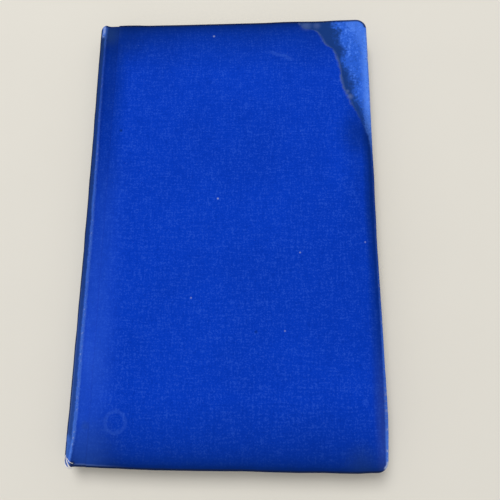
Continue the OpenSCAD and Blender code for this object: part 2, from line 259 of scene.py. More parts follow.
class BookShape:
    """The closed book's section, in millimetres, with heights from the middle plane of the leaves."""

    def __init__(self, scene):
        case, leaves = Millimetres(scene.hardback_case), Millimetres(scene.hardback_leaves)
        self.case, self.leaves = case, leaves
        low, high = cad_low / MM, cad_high / MM
        cover_low, _ = corners_in_mm("front_cloth")
        _, pages_high = corners_in_mm("pages")
        self.middle = high.z / 2
        self.fore_x, self.head_y, self.out_z = high.x, high.y, high.z - self.middle
        self.cover_x, self.in_z = cover_low.x, cover_low.z - self.middle
        self.board_z = self.in_z + case.cloth
        self.window_x, self.window_y = self.fore_x - case.turn_in, self.head_y - case.turn_in
        self.leaf_x, self.leaf_y = pages_high.x, pages_high.y

        self.ridge_x, self.ridge_z = low.x + case.spine_reach, self.out_z - case.ridge_drop - case.ridge_round
        self.joint_z = self.out_z - case.joint_depth
        reach, rise = case.spine_reach, self.ridge_z
        self.spine_r = (reach**2 + rise**2 - case.ridge_round**2) / (2 * (reach - case.ridge_round))
        self.spine_x = low.x + self.spine_r
        self.spine_half = math.degrees(math.atan2(rise, self.spine_r - reach))
        both = case.ridge_round + case.groove_round
        self.groove_turn = math.degrees(math.acos(1 - (self.out_z - case.ridge_drop - self.joint_z) / both))
        self.groove_x = self.ridge_x + both * math.sin(math.radians(self.groove_turn))
        self.groove_z = self.joint_z + case.groove_round
        lean = math.radians(LIP_TURN)
        lip_x = self.cover_x + case.outer_arris * (1 - math.sin(lean))
        self.lip_z = self.out_z - case.outer_arris * (1 - math.cos(lean)) - case.settle
        self.lip_r = (self.lip_z - self.joint_z) / (1 - math.cos(lean))
        self.lip_x = lip_x - self.lip_r * math.sin(lean)
        self.hinge_from, self.hinge_to = self.ridge_x + case.hinge_from, self.ridge_x + case.hinge_to

        self.block_top = leaves.block / 2
        self.shoulder_top = pages_high.z - self.middle
        self.back_r = (self.shoulder_top**2 + leaves.back_round**2) / (2 * leaves.back_round)
        self.back_x = self.ridge_x + leaves.shoulder_gap - leaves.back_round + self.back_r
        self.ring_r = self.back_r - leaves.fold_round
        self.fold_span = math.asin((self.shoulder_top - leaves.fold_round) / self.ring_r)
        tip_x = self.back_x - self.ring_r * math.cos(self.fold_span)
        tip_z = self.ring_r * math.sin(self.fold_span)
        self.root_z = self.block_top + leaves.shoulder_round
        spread = leaves.shoulder_round + leaves.fold_round
        self.root_x = tip_x + math.sqrt(spread**2 - (self.root_z - tip_z) ** 2)
        self.mull_half = self.window_y - leaves.mull_short
        self.mull_z = self.joint_z - case.cloth - leaves.mull / 2
        self.hinge_paper_z = self.joint_z - 2 * case.cloth - leaves.paper / 2

    def paper_level(self, x, y):
        """Height of the middle of the pasted-down endpaper, which shows what lies under it."""
        leaves = self.leaves
        bare = self.board_z - leaves.paper / 2
        past_flange = x - (self.cover_x + self.case.cloth + leaves.flange)
        over_mull = smooth_step(*STEP_TO_MULL, abs(y) - self.mull_half) * smooth_step(*STEP_TO_MULL, past_flange)
        over_cloth = smooth_step(*STEP_TO_CLOTH, max(x - self.window_x, abs(y) - self.window_y))
        return bare - leaves.mull * over_mull - self.case.cloth * over_cloth


def smooth_step(start, end, value):
    """Share of the way from start to end, eased at both."""
    share = min(1.0, max(0.0, (value - start) / (end - start)))
    return share * share * (3 - 2 * share)


def evenly(start, end, steps):
    return [start + (end - start) * step / steps for step in range(steps + 1)]


def follow(line, place):
    """Height of a line of (place, height) points at a place."""
    for (one, low), (two, high) in zip(line, line[1:]):
        if place < two:
            return low + (high - low) * smooth_step(one, two, place)
    return line[-1][1]


def out_of_true(bm, shape):
    """Lets the edges of the case wander out and in, as on a book cut and covered by hand."""
    for vert in bm.verts:
        x, y, _ = vert.co
        end = follow(HEAD_LINE if y > 0 else TAIL_LINE, x)
        end *= smooth_step(*STRAYS, shape.head_y - abs(y))
        fore = follow(FORE_LINE, y) * smooth_step(*STRAYS, shape.fore_x - x)
        back = follow(SPINE_LINE, y) * smooth_step(*STRAYS_AT_RIDGE, x - shape.ridge_x)
        vert.co.x += fore + back
        vert.co.y += end if y > 0 else -end


def corners_of(made):
    """Corners among what an operator has made."""
    return [item for item in made if isinstance(item, bmesh.types.BMVert)]


class Pen:
    """Draws a sheet's edge-on outline in the plane across the book, stroke by stroke."""

    def __init__(self, x, z):
        self.bm = bmesh.new()
        self.tip = bmesh.ops.create_vert(self.bm, co=(x, 0, z))["vert"][0]

    def line(self, x, z, steps=1):
        start = self.tip.co.copy()
        for share in evenly(0, 1, steps)[1:]:
            self.tip = bmesh.ops.extrude_vert_indiv(self.bm, verts=[self.tip])["verts"][0]
            self.tip.co = start.lerp(Vector((x, 0, z)), share)
        return self

    def ease(self, x, z, steps):
        """Goes across evenly and up or down in an S."""
        start = self.tip.co.copy()
        for share in evenly(0, 1, steps)[1:]:
            self.line(start.x + (x - start.x) * share, start.z + (z - start.z) * smooth_step(0, 1, share))
        return self

    def arc(self, x, z, degrees, steps):
        """Turns about a centre. Above the middle plane, a turn below zero goes towards the spine."""
        made = bmesh.ops.spin(self.bm, geom=[self.tip], cent=(x, 0, z), axis=(0, 1, 0), steps=steps,
                              angle=math.radians(degrees))
        self.tip = corners_of(made["geom_last"])[0]
        return self

    def bend(self, leave, arrive, end, steps):
        """Runs along a curve that leaves and arrives in the directions given."""
        start = self.tip.co.copy()
        pull = (end - start).length * PULL
        points = geometry.interpolate_bezier(start, start + leave * pull, end - arrive * pull, end, steps + 1)
        for point in points[1:]:
            self.line(point.x, point.z)
        return self


class Sheet:
    """A drawn outline that is extruded along the book, row by row, with the cloth's own measure on it."""

    def __init__(self, bm):
        self.bm, self.base = bm, [vert.co.copy() for vert in bm.verts]
        self.order = bm.verts.layers.int.new("order")
        self.across, self.along = (bm.verts.layers.float.new(name) for name in ("across", "along"))
        steps = [(b - a).length for a, b in zip(self.base, self.base[1:])]
        self.reach = [sum(steps[:count]) for count in range(len(self.base))]
        ways = [(b - a).normalized() for a, b in zip(self.base, self.base[1:])]
        ways = [(a + b).normalized() for a, b in zip([ways[0], *ways], [*ways, ways[-1]])]
        self.out = [Vector((way.z, 0, -way.x)) for way in ways]
        self.edges, self.travelled, self.last = list(bm.edges), 0.0, None
        for place, vert in enumerate(bm.verts):
            vert[self.order] = place

    def row(self, y, depths):
        """Adds a row at y, each point so far in from the outline."""
        verts = list(self.bm.verts)
        if self.last is not None:
            made = bmesh.ops.extrude_edge_only(self.bm, edges=self.edges)["geom"]
            verts = corners_of(made)
            fresh = set(verts)
            self.edges = [item for item in made if isinstance(item, bmesh.types.BMEdge)
                          and fresh.issuperset(item.verts)]
            self.travelled += math.hypot(y - self.last[0], depths[0] - self.last[1])
        else:
            self.travelled = y
        self.last = (y, depths[0])
        for vert in verts:
            place = vert[self.order]
            vert.co = self.base[place] - self.out[place] * depths[place] + Vector((0, y, 0))
            vert[self.across], vert[self.along] = self.base[0].x - self.reach[place], self.travelled

    def face_out(self):
        """Turns the faces so that they look the way that the outline's outer side does."""
        self.bm.normal_update()
        face = max(self.bm.faces, key=lambda f: -abs(f.calc_center_median().y))
        place = min(vert[self.order] for vert in face.verts)
        if face.normal.dot(self.out[place]) < 0:
            bmesh.ops.reverse_faces(self.bm, faces=self.bm.faces)
        self.bm.normal_update()

    def measure(self):
        """Writes the cloth's own measure, in millimetres, to a UV map."""
        threads = self.bm.loops.layers.uv.new("threads")
        for face in self.bm.faces:
            for loop in face.loops:
                loop[threads].uv = (loop.vert[self.across], loop.vert[self.along])


def plain_sheet(pen, rows, thickness, lift=None):
    """Extrudes an outline into a flat or bent sheet with the outline at the middle of its thickness."""
    bm, sheet = pen.bm, Sheet(pen.bm)
    flat = [0.0] * len(sheet.base)
    for y in rows:
        sheet.row(y, flat)
    if lift:
        for vert in bm.verts:
            vert.co.z = lift(vert.co)
    sheet.face_out()
    for vert in bm.verts:
        vert.co += vert.normal * thickness / 2
    bmesh.ops.solidify(bm, geom=bm.faces[:], thickness=thickness)
    sheet.measure()
    return bm


def turned_in_cloth(pen, shape, depths, wander=0.0):
    """Extrudes an outline into cloth that is folded round at the head and tail and turned in."""
    case, bm, sheet = shape.case, pen.bm, Sheet(pen.bm)
    end, fold_y = shape.head_y, shape.head_y - FOLD_ROUND
    turn = [(fold_y + FOLD_ROUND * math.sin(a), (1 + math.cos(a)) / 2) for a in evenly(0, math.pi, 8)]
    inner = [(y, 1.0) for y in evenly(end - case.turn_in, fold_y, 3)[:-1]]
    outer = [(y, 0.0) for y in evenly(-fold_y, fold_y, CLOTH_ROWS)[1:-1]]
    half = [*inner, *turn]
    for y, share in [*[(-y, s) for y, s in half], *outer, *half[::-1]]:
        sheet.row(y, [depth * share for depth in depths])
    last = len(sheet.base) - 1
    for vert in bm.verts:
        if abs(vert.co.y) < fold_y:
            place = vert[sheet.order]
            free = smooth_step(0, HELD, min(place, last - place)) * smooth_step(fold_y, end - HELD, abs(vert.co.y))
            vert.co += sheet.out[place] * wander * free * noise.noise(vert.co * WAVES)
    sheet.face_out()
    bmesh.ops.solidify(bm, geom=bm.faces[:], thickness=case.cloth - FILM)
    sheet.measure()
    return bm


def wear_caps(bm, shape):
    """Draws the round of the spine in at the head and tail."""
    for vert in bm.verts:
        worn = shape.case.cap_tail if vert.co.y < 0 else shape.case.cap_head
        near = smooth_step(*CAPS, shape.head_y - abs(vert.co.y))
        round_share = smooth_step(shape.ridge_x - 1.0, shape.spine_x - shape.spine_r, vert.co.x)
        vert.co.y -= math.copysign(worn * near * round_share, vert.co.y)


def to_mesh(bm, name, finish=None):
    """Makes a mesh of what was drawn and lets the drawing go."""
    mesh = bpy.data.meshes.new(name)
    bm.to_mesh(mesh)
    bm.free()
    if finish:
        mesh.materials.append(finish)
    return mesh


def add_object(name, data):
    """Puts a mesh, lamp or camera into the scene."""
    made = bpy.data.objects.new(name, data)
    bpy.context.scene.collection.objects.link(made)
    return made


def finish_piece(bm, name, shape, made, body, slot, side=1, replaces=(), wear=()):
    """Makes an object of a mesh drawn in millimetres from the middle plane, turned over for the back.

    Its places as drawn are kept for the finish; wear moves it off them."""
    if side < 0:
        bmesh.ops.scale(bm, vec=(1, 1, -1), verts=bm.verts)
        bmesh.ops.reverse_faces(bm, faces=bm.faces)
    bmesh.ops.translate(bm, vec=(0, 0, shape.middle), verts=bm.verts)
    place = bm.verts.layers.float_vector.new("rest_place")
    for vert in bm.verts:
        vert[place] = vert.co
    for change in wear:
        change(bm, shape)
    bmesh.ops.scale(bm, vec=(MM, MM, MM), verts=bm.verts)
    mesh = to_mesh(bm, name, made[slot])
    mesh.shade_smooth()
    mesh.set_sharp_from_angle(angle=SHARP_FROM)
    piece = add_object(name, mesh)
    if body:
        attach(piece, body)
    if replaces:
        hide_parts(*replaces)
    return piece


def bend_with_cover(piece, shape, layer=0):
    """Bakes a joint piece's transform into its mesh; the span of its bend, longer for inner layers, goes unused.
    """
    end = shape.hinge_to + layer * shape.case.hinge_step
    shape.hinge_from * MM
    end * MM
    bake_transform(piece)


# ---- Finishes


def joined(operation, turned=False):
    """A method that joins a socket with another one or with a number, in turned order where asked."""
    def method(self, other):
        return self.finish.math(operation, *((other, self) if turned else (self, other)))
    return method


class Wire:
    """A shader socket that Python's arithmetic works on."""

    def __init__(self, finish, socket):
        self.finish, self.socket = finish, socket

    def __abs__(self):
        return self.finish.math("ABSOLUTE", self)

    __add__ = __radd__ = joined("ADD")
    __mul__ = __rmul__ = joined("MULTIPLY")
    __sub__, __rsub__ = joined("SUBTRACT"), joined("SUBTRACT", turned=True)
    __truediv__, __pow__ = joined("DIVIDE"), joined("POWER")


class Finish:
    """The node tree of one material, painted shade over shade."""

    def __init__(self, name, shades, base, roughness, gloss=0.2):
        self.shades, self.shade = shades, getattr(shades, base)
        self.material = bpy.data.materials.new(name)
        self.material.use_nodes = True
        self.tree = self.material.node_tree
        self.tree.nodes.clear()
        self.shader = self.tree.nodes.new("ShaderNodeBsdfPrincipled")
        out = self.tree.nodes.new("ShaderNodeOutputMaterial")
        self.tree.links.new(self.shader.outputs[0], out.inputs[0])
        self.shader.inputs["Roughness"].default_value = roughness
        self.shader.inputs["Specular IOR Level"].default_value = gloss

    def plug(self, socket, value):
        if isinstance(value, Wire):
            self.tree.links.new(value.socket, socket)
        elif value is not None:
            socket.default_value = (*value, 1) if socket.type == "RGBA" and len(value) == 3 else value

    def node(self, kind, settings=None, values=None, outlet=0):
        """Adds a node: its settings first, then its sockets by name or number."""
        made = self.tree.nodes.new("ShaderNode" + kind)
        for name, value in (settings or {}).items():
            if name == "stops":
                stops = made.color_ramp.elements
                while len(stops) < len(value):
                    stops.new(0.5)
                for stop, (place, shade) in zip(stops, value):
                    stop.position, stop.color = place, (shade, shade, shade, 1)
            else:
                setattr(made, name, value)
        for name, value in (values or {}).items():
            self.plug(made.inputs[name], value)
        return Wire(self, made.outputs[outlet])

    def math(self, operation, *values):
        return self.node("Math", {"operation": operation}, dict(enumerate(values)))

    def place(self, stretch=(1, 1, 1), source=None):
        """Places as drawn, or from another source, in millimetres and stretched."""
        source = source or self.node("Attribute", {"attribute_name": "rest_place"}, outlet=1)
        return self.node("VectorMath", {"operation": "MULTIPLY"}, {0: source, 1: stretch})

    def object_place(self):
        source = self.node("TexCoord", outlet=3)
        return self.node("VectorMath", {"operation": "SCALE"}, {0: source, "Scale": 1 / MM})

    def parts(self, vector):
        made = self.node("SeparateXYZ", values={0: vector})
        return [Wire(self, socket) for socket in made.socket.node.outputs]

    def cloud(self, vector, size, detail=2.0, rough=0.5):
        """Soft noise from 0 to 1, with marks of a size in millimetres."""
        return self.node("TexNoise", {}, {"Vector": vector, "Scale": 1 / size, "Detail": detail,
                                          "Roughness": rough})

    def ramp(self, value, start, end):
        """Rises smoothly from 0 at start to 1 at end."""
        return self.node("MapRange", {"interpolation_type": "SMOOTHSTEP"},
                         {0: value, 1: start, 2: end, 3: 0.0, 4: 1.0})

    def mix(self, share, first, second):
        return self.node("Mix", {"data_type": "RGBA"}, {0: share, 6: first, 7: second}, outlet=2)

    def paint(self, share, name):
        """Lays another of the shades over what is there."""
        self.shade = self.mix(share, self.shade, getattr(self.shades, name))

    def both(self, *shares):
        """Where any of the shares is high."""
        result = shares[0]
        for share in shares[1:]:
            result = self.math("MAXIMUM", result, share)
        return result

    def curve(self, value, points):
        """Height of a smooth line through points, at a value from 0 to 1."""
        line = self.node("FloatCurve", {}, {1: value})
        mapping = line.socket.node.mapping
        for place, height in points[1:-1]:
            mapping.curves[0].points.new(place, height)
        for point, location in zip(mapping.curves[0].points, points):
            point.location = location
        mapping.update()
        return line

    def bump(self, height, distance, strength=1.0, normal=None):
        return self.node("Bump", {}, {"Height": height, "Distance": distance * MM, "Strength": strength,
                                      "Normal": normal})

    def done(self, normal=None, roughness=None):
        for name, value in (("Base Color", self.shade), ("Normal", normal), ("Roughness", roughness)):
            self.plug(self.shader.inputs[name], value)
        return self.material


def weave(finish, threads, pitch):
    """Height of a plain weave, and which thread lies on top, from its own measure in millimetres."""
    across, along, _ = finish.parts(threads)
    turns = math.pi / pitch
    warp, weft = (finish.math("COSINE", part * turns) for part in (across, along))
    top = finish.ramp(warp * weft, -0.35, 0.35)
    height = abs(warp) * top + abs(weft) * (1 - top)
    return height, top


# Shares that change along the book, from the tail, 0, to the head, 1
ALONG = {
    "soiled fore-edge": ((0, 0.5), (0.2, 0.6), (0.35, 0.85), (0.6, 1), (1, 1)),
    "darker beside the joint": ((0, 0.2), (0.25, 0.05), (0.45, 0.2), (0.7, 0.35), (0.82, 0.55), (1, 0.6)),
    "raised nap": ((0, 0.45), (0.08, 0.5), (0.2, 0.95), (0.3, 0.7), (0.55, 0.3), (0.7, 0)),
    "crest of the ridge": ((0.01, 0.34), (0.05, 0.64), (0.095, 0.73), (0.17, 0.68), (0.28, 0.67), (0.52, 0.66),
                           (0.66, 0.61), (0.77, 0.53), (0.95, 0.57)),
    "worn fore-edge": ((0, 1), (0.06, 0.95), (0.14, 0.75), (0.25, 0.7), (0.33, 0.4), (0.42, 0.2),
                       (0.62, 0.15), (0.7, 0.45), (0.8, 0.9), (1, 0.9)),
    "worn ridge": ((0, 1), (0.05, 1), (0.1, 0.9), (0.3, 0.75), (0.45, 0.62), (0.65, 0.46), (0.8, 0.24),
                   (0.93, 0.15), (0.955, 0.3), (1, 0.4)),
}
# How far the grime reaches in from an edge, in mm, and its share at parts of that reach
GRIME = {
    "ends": (30, ((0, 1), (0.03, 0.98), (0.05, 0.87), (0.085, 0.77), (0.133, 0.65), (0.2, 0.52), (0.27, 0.43),
                  (0.4, 0.31), (0.6, 0.19), (1, 0.03))),
    "fore-edge": (20, ((0, 0.9), (0.1, 0.85), (0.15, 0.66), (0.2, 0.55), (0.25, 0.34), (0.3, 0.15), (0.5, 0.08),
                       (1, 0))),
}
# Soft round marks: place across and along the book, radius, all in mm, softness and strength
SOILED_SPOTS = ((-61, 107, 15, 0.7, 0.45), (67, 46, 9, 0.8, 0.42))
DUSTY_SPOTS = ((-66, 106, 5, 0.9, 0.7), (-60, -105, 11, 0.8, 0.34), (60, -107, 6, 0.9, 0.35),
               (-62, -94, 2, 0.9, 0.45))
TIDE_SPOTS = ((40.5, 108.2, 2.2, 0.9, 0.4), (46, 108, 1.6, 0.9, 0.35), (61.8, 66, 1.2, 0.9, 0.65),
              (60.6, 69, 0.8, 0.9, 0.5))
# Single specks on the front cover: place, radius, shade and strength
SPECKS = ((-8.5, 103.1, 0.5, "cloth_bare", 0.45), (-4.5, 12.5, 0.45, "cloth_bare", 0.6),
          (35.1, -14.7, 0.4, "cloth_bare", 0.4), (-16.1, -36, 0.4, "cloth_bare", 0.4),
          (27.6, -51.1, 0.4, "cloth_bare", 0.35), (65.7, -10, 0.4, "cloth_bare", 0.35),
          (-55.2, 49, 0.7, "cloth_soiled", 0.6), (14.4, -51.6, 0.7, "cloth_soiled", 0.4))
# Rim of the stain, in mm: its tail end and its length along the book, its left side and its width across. Its
# points go by shares of these.
STAIN_FROM, STAIN_LENGTH, STAIN_LEFT, STAIN_WIDTH = 20, 100, 32, 40
STAIN_LINE = ((0, 0.985), (0.113, 0.975), (0.193, 0.962), (0.263, 0.922), (0.339, 0.855), (0.412, 0.765),
              (0.457, 0.730), (0.525, 0.662), (0.582, 0.642), (0.670, 0.610), (0.729, 0.552), (0.772, 0.450),
              (0.820, 0.390), (0.850, 0.330), (0.868, 0.17), (1, 0))
THREAD_PITCH = 0.46


class BookCloth(Finish):
    """Royal-blue book cloth: weave and slubs, soiled edges, rubbed ridges and a water stain."""

    def __init__(self, shades, shape):
        super().__init__("book_cloth", shades, "cloth", roughness=0.85, gloss=0.02)
        self.shape, where = shape, self.place()
        self.x, self.y, self.z = self.parts(where)
        self.grain = self.cloud(where, 0.75, 2, 0.7)
        self.fine = self.cloud(where, 1.3, 4, 0.65)
        self.patchy = self.cloud(where, 7, 4, 0.6)

        # Distances from the edges of the covers and from their outer faces
        self.fore = shape.fore_x - self.x
        self.tail, self.head = self.y + shape.head_y, shape.head_y - self.y
        self.ends = shape.head_y - abs(self.y)
        self.level = abs(self.z - shape.middle)
        self.face = shape.out_z - self.level
        self.front = self.ramp(self.z, shape.middle + 1.5, shape.middle + 4)
        self.ragged = (self.patchy - 0.5) * 4 + (self.fine - 0.5) * 2

        height, slubs = self.dye(where)
        self.soil()
        self.fade_spine()
        stained = self.stain()
        self.rub()
        self.mark()
        normal = self.bump(height * 0.8 + self.grain * 0.5 + slubs * 0.5, 0.09, 0.85)
        normal = self.bump(self.patchy + stained * self.fine * 0.6, 0.12, 0.5, normal)
        self.done(normal, 0.78 + self.fine * 0.14)

    def along(self, kind):
        """A share that changes from the tail to the head."""
        return self.node("ValToRGB", {"stops": ALONG[kind]}, {0: self.tail / (2 * self.shape.head_y)})

    def grime(self, edge, distance):
        """A share that fades with the distance from an edge."""
        reach, stops = GRIME[edge]
        return self.node("ValToRGB", {"stops": stops}, {0: (distance + self.ragged * 0.3) / reach})

    def away_from(self, x, y):
        return self.math("SQRT", (self.x - x) ** 2 + (self.y - y) ** 2)

    def spot(self, x, y, radius, soft=0.5):
        far = self.away_from(x, y) + (self.fine - 0.5) * radius * 0.8
        return self.ramp(far, radius * (1 + soft), radius * (1 - soft))

    def spots(self, marks):
        """Soft round marks, each with its place, radius, softness and strength."""
        return self.both(*[self.spot(*mark) * strength for *mark, strength in marks])

    def from_corner(self, radius, end):
        """Distance from the outline at a rounded corner of the front cover, large elsewhere."""
        out = [self.math("MAXIMUM", radius - far, 0) ** 2 for far in (self.fore, end)]
        return radius - self.math("SQRT", out[0] + out[1]) + self.ramp(end, radius - 0.5, radius + 1) * 9

    def dye(self, where):
        """Dye, a little deeper between the threads and in broad soft patches. Hands out the threads' height."""
        threads, jitter = self.node("UVMap", {"uv_map": "threads"}), self.cloud(where, 1.6, 2)
        threads = self.node("VectorMath", {"operation": "ADD"}, {0: threads, 1: jitter * 0.1})
        height, _ = weave(self, threads, THREAD_PITCH)
        warp, weft = self.place((1.1, 0.14, 1.1)), self.place((0.14, 1.1, 1.1))
        slubs = (self.cloud(warp, 1) + self.cloud(weft, 1)) / 2
        woven = self.grain + (slubs - 0.5) * 0.8
        self.paint(self.ramp(self.cloud(where, 38, 3), 0.35, 0.75) * 0.25, "cloth_deep")
        self.paint(self.ramp(woven, 0.5, 0.72) * 0.46, "cloth_light")
        self.paint(self.ramp(woven, 0.5, 0.24) * 0.36, "cloth_deep")
        self.paint(self.ramp(height, 0.75, 0.25) * 0.3, "cloth_deep")
        self.paint(self.ramp(self.cloud(where, 0.6, 0), 0.78, 0.86) * 0.3, "cloth_worn")
        return height, slubs

    def soil(self):
        """Grime darkest at the edges and fading inwards, grey dust at the corners, and darker cloth by the joint.
        """
        x, y, fore, ramp = self.x, self.y, self.fore, self.ramp
        grime = self.both(self.grime("ends", self.ends),
                          self.grime("fore-edge", fore) * self.along("soiled fore-edge"),
                          # Darker beside the joint, the more so towards the head
                          ramp(x, -50, -64) * self.along("darker beside the joint"),
                          ramp(self.tail + self.ragged * 0.2, 5.5, 1.5) * 0.9,
                          ramp(fore + self.ragged, 20, 5) * ramp(y, -10, 30) * 0.24)
        head_cloud = ramp(x, -22, -52) * ramp(self.ends, 18, 4) * ramp(y, 0, 30) * 0.25
        grime = grime + (1 - grime) * self.both(head_cloud, self.spots(SOILED_SPOTS))
        self.paint(grime, "cloth_soiled")
        dust = self.both(self.spots(DUSTY_SPOTS), ramp(fore, 7, 2) * ramp(y, -35, -70) * 0.1)
        self.paint(dust, "cloth_grey")
        self.paint(ramp(fore, 6.5, 1.5) * ramp(y, -50, -95) * 0.11, "tide")

    def fade_spine(self):
        """Nap rubbed up beside the tail half of the ridge; the spine greyed by light, with painted sheen and
        shade.
        """
        x, y, fine, middle, ramp = self.x, self.y, self.fine, self.shape.middle, self.ramp
        haze = ramp(x, -46, -62) * self.along("raised nap")
        self.paint(haze * (0.2 + self.patchy * 0.4), "cloth_light")
        self.crest = self.shape.ridge_x - 2 + 4 * self.along("crest of the ridge")
        spine = ramp(x, self.crest + 0.3, self.crest - 1.2)
        self.paint(spine * (0.62 + fine * 0.34), "cloth_faded")
        self.paint(spine * ramp(y, -10, -90) * 0.12, "cloth_worn")
        # Painted highlight: a thin pale sheen along the spine's round, towards the tail
        bow = x + (fine - 0.5) * 0.5
        sheen = ramp(bow, -70.1, -69.6) * ramp(bow, -68.9, -69.4) * ramp(y, -10, -70)
        self.paint(sheen * 0.3, "tide")
        # Painted shade with some grime: the spine's round darkened, most on the front half
        turned = ramp(self.level, 5, 4.2) * spine * (0.4 + ramp(self.z, middle + 0.5, middle + 2.5) * 0.6)
        self.paint(turned * 0.85, "rim_grime_and_shade")

    def stain(self):
        """Stain at the head and fore-edge: a tide line, a dark rim inside it and mottled paler cloth."""
        x, y, fine, grain, ramp = self.x, self.y, self.fine, self.grain, self.ramp
        line = self.curve((y - STAIN_FROM) / STAIN_LENGTH, STAIN_LINE) * STAIN_WIDTH + STAIN_LEFT
        rim = x - line + (self.patchy - 0.5) * 2 + (fine - 0.5) * 1.6
        in_stain = ramp(rim, -0.6, 0.6) * self.front * ramp(y, 28, 66)
        mottled = self.cloud(self.place((1.2, 0.6, 1)), 6, 4, 0.6)
        streaks = self.cloud(self.place((1, 0.35, 1)), 3.2, 3, 0.6)
        fleck = grain * 0.5 + fine * 0.9 + streaks * 0.7

        band = 3.2 + ramp(y, 86, 102) * 4.6 + ramp(abs(y - 76), 7, 2) * 2
        tone = (rim - band) / 6 + (mottled - 0.5) * 1.3 + (fleck - 1.05) * 0.9
        tone = tone + self.spot(60.5, 86, 2.6, 0.9) * 0.6
        tone = tone - ramp(self.head + (mottled - 0.5) * 6, 10, 1) * ramp(x, 71, 58) * 1.5
        washed = self.mix(ramp(tone, -0.4, 0.6), self.shades.stain_deep, self.shades.stain)
        washed = self.mix(ramp(fleck, 1.02, 0.8) * 0.5, washed, self.shades.stain_deep)

        fore = ramp(self.fore + (grain - 0.5) * 7 + (fine - 0.5) * 5, 4.6, 1.4) * ramp(self.head, 5, 12)
        corner = self.spot(67, 105.2, 3, 0.9) * ramp(streaks + grain * 0.5, 0.6, 0.9)
        pale = self.both(self.both(fore, corner) * (0.35 + ramp(grain + fine, 0.7, 1.15) * 0.6),
                         ramp(tone, 1, 2.2) * 0.4, ramp(fleck, 1.05, 1.3) * ramp(tone, 0, 0.8) * 0.75)
        self.shade = self.mix(in_stain * 0.94, self.shade, self.mix(pale, washed, self.shades.stain_pale))
        tide = ramp(abs(rim - 0.1), 1.2, 0.2) * ramp(y, 50, 68) * ramp(fine + self.patchy, 0.75, 1.15)
        self.paint(self.both(tide * 0.42, self.spots(TIDE_SPOTS)) * self.front, "tide")
        return in_stain

    def rub(self):
        """Dye rubbed off the ridges, the arrises and the corners, and dark edges of grime and painted shade."""
        x, y, tail, fine, shape, ramp = self.x, self.y, self.tail, self.fine, self.shape, self.ramp
        worn_fore = ramp(self.fore + self.face + (fine - 0.5) - ramp(tail, 24, 10) * 0.3, 1.45, 0.4)
        worn_fore = worn_fore * self.along("worn fore-edge")
        ridge = ramp(abs(x - self.crest + (self.patchy - 0.5) * 0.8) + (fine - 0.5) * 1.9, 1, 0.1)
        ridge = ridge * self.along("worn ridge")
        rubbed = self.both(worn_fore, ridge * (0.2 + fine * 1.6), self.spot(-69.4, -99.5, 1.6, 0.8) * 0.6,
                           ramp(abs(x + 68.6), 2, 0.9) * ramp(tail, 13, 10) * fine)
        self.paint(rubbed * 0.92, "cloth_worn")
        self.paint(ramp(abs(tail - 1.1) + (fine - 0.5) * 0.5, 0.5, 0.1) * ramp(x, -40, -64) * 0.5, "tide")
        cap = ramp(abs(x - shape.ridge_x + 1.1) + (fine - 0.5) * 0.8, 1.5, 0.6)
        cap = cap * ramp(y + fine * 3, 104.5, 107.5)
        self.paint(cap * 0.85, "cloth_worn")
        corner = (ramp(self.from_corner(shape.case.tail_corner, tail) + (fine - 0.5), 1.4, 0.5)
                  * self.spot(shape.fore_x - 0.8, -shape.head_y + 3.4, 1.9, 0.4) * self.front)
        bald = self.both(ridge * ramp(fine + self.grain * 0.5, 0.8, 0.98) * 0.75,
                         worn_fore * ramp(fine + self.patchy * 0.5, 0.76, 0.98) * 0.8,
                         corner * 0.85, cap * ramp(fine, 0.4, 0.7) * 0.7)
        self.paint(bald, "cloth_bare")
        # Grime and painted shade darken the arris and sides at head and tail, and a spot at the spine's tail
        head_arris = self.from_corner(shape.case.head_corner, self.head) + self.face
        dark = self.both(ramp(head_arris + (fine - 0.5) * 0.6, 1.9, 0.9), ramp(tail, 1.3, 0.7),
                         self.spot(-66.4, -109.6, 1, 0.6)) * ramp(x, shape.ridge_x - 1.5, shape.ridge_x + 1)
        self.paint(dark * 0.85, "rim_grime_and_shade")

    def mark(self):
        """Single specks, a ring and a scuff on the front cover."""
        for *place, shade, strength in SPECKS:
            self.paint(self.spot(*place) * self.front * strength, shade)
        ring = abs(self.away_from(-48.3, -91.8) - 4.6) + (self.fine - 0.5)
        self.paint(self.ramp(ring, 1.2, 0.3) * self.front * 0.12, "cloth_worn")
        scuff = self.ramp(abs(self.y - 101.5 + self.x * 0.4) + (self.fine - 0.5) * 4, 1.6, 0.3)
        self.paint(scuff * self.ramp(abs(self.x - 27), 7.5, 4) * self.front * 0.16, "cloth_worn")


def paper(name, shades, plain, toned, strata=False):
    """Book paper: fibres, faint browner mottling and foxing, or the stacked edges of leaves."""
    made = Finish(name, shades, plain, roughness=0.9)
    where = made.object_place()
    mottled = made.cloud(where, 9, 4, 0.6)
    fibres = made.cloud(made.place((0.8, 3, 3), where), 1.2, 3, 0.6)
    made.paint(made.ramp(mottled, 0.4, 0.8) * 0.4, toned)
    made.paint(made.ramp(fibres, 0.55, 0.8) * 0.2, toned)
    height = fibres * 0.6 + mottled * 0.4
    if strata:
        layers = made.cloud(made.place((0.03, 0.03, 5), where), 0.5, 2, 0.6)
        made.paint(made.ramp(layers, 0.4, 0.75) * 0.65, toned)
        height = height + layers
    spots = made.node("TexVoronoi", {}, {"Vector": where, "Scale": 0.07, "Randomness": 1.0})
    foxed = made.ramp(spots + (fibres - 0.5) * 0.1, 0.06, 0.015) * made.ramp(mottled, 0.45, 0.7)
    made.paint(foxed * 0.3, "leaf_toned")
    return made.done(made.bump(height, 0.02, 0.5), 0.84 + mottled * 0.1)


